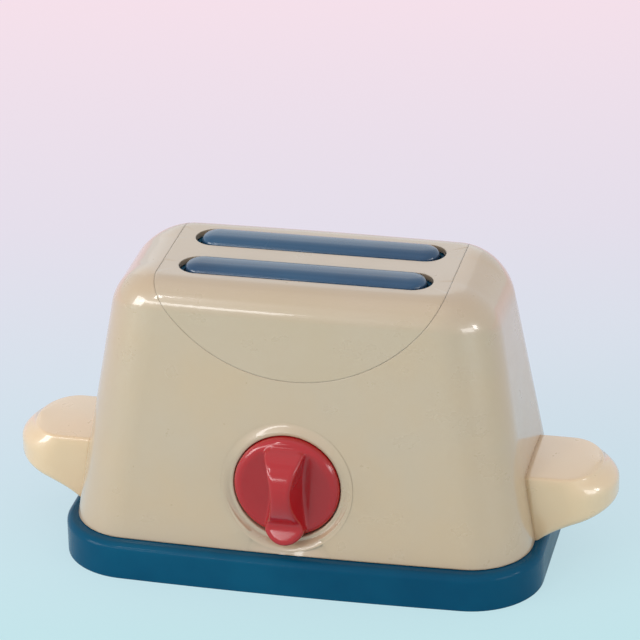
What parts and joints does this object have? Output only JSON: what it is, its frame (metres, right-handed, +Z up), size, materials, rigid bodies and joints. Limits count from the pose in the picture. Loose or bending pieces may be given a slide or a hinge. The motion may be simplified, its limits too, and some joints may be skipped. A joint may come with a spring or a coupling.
{
  "type": "toy pop-up toaster",
  "caption": "Toy pop-up toaster with leaning cream walls, blue base tray and lift bars in round-ended slots, a red pointer knob and a flat handle at each end.",
  "frame": {"origin": "on the surface it stands on, under the middle of the body", "axes": "+X to the right seen from the front, +Y to the back, +Z up; the knob faces -Y"},
  "size_m": [0.2278, 0.1065, 0.114],
  "materials": {
    "cream_shell": "gloss, slightly soft",
    "cream_handle": "satin",
    "blue_base": "gloss",
    "blue_bar": "satin",
    "red_knob": "satin",
    "white_inner": "matt",
    "zinc_plate": "zinc plated sheet",
    "steel": "bright steel"
  },
  "bodies": {
    "body": {"housing": "cream_shell", "slot_panel": "cream_shell", "base_tray": "blue_base", "base_screws": "steel", "slot_liner": "blue_base", "panel_screws": "steel", "left_guide_rod": "steel", "right_guide_rod": "steel", "left_lift_spring": "steel", "right_lift_spring": "steel", "latch_pivot_pin": "steel", "latch_bracket": "zinc_plate", "bracket_screws": "steel", "left_handle": "cream_handle", "right_handle": "cream_handle", "left_handle_retainer": "white_inner", "right_handle_retainer": "white_inner", "handle_screws": "steel"},
    "lift": {"front_lift_bar": "blue_bar", "rear_lift_bar": "blue_bar", "lift_carriage": "white_inner", "bar_screws": "steel"},
    "knob": {"knob": "red_knob", "knob_shaft": "steel", "knob_clip": "steel", "lock_cam": "white_inner"},
    "latch": {"latch_lever": "white_inner", "latch_spring": "steel"}
  },
  "joints": [
    {"name": "lift_slide", "type": "slide", "parent": "body", "child": "lift", "axis": [0, 0, 1], "range_m": [-0.034, 0], "stiffness_N_per_m": 50, "springref_m": 0.02, "deforming": ["left_lift_spring", "right_lift_spring"]},
    {"name": "knob_turn", "type": "hinge", "parent": "body", "child": "knob", "pos_m": [-0.0015, -0.04, 0.04], "axis": [0, 1, 0], "range_deg": [0, 60]},
    {"name": "latch_swing", "type": "hinge", "parent": "body", "child": "latch", "pos_m": [0.022, -0.032, 0.062], "axis": [0, -1, 0], "range_deg": [0, 4.8]}
  ],
  "couplings": [
    {"joint": "latch_swing", "follows": "knob_turn", "ratio": 0.07833}
  ]
}
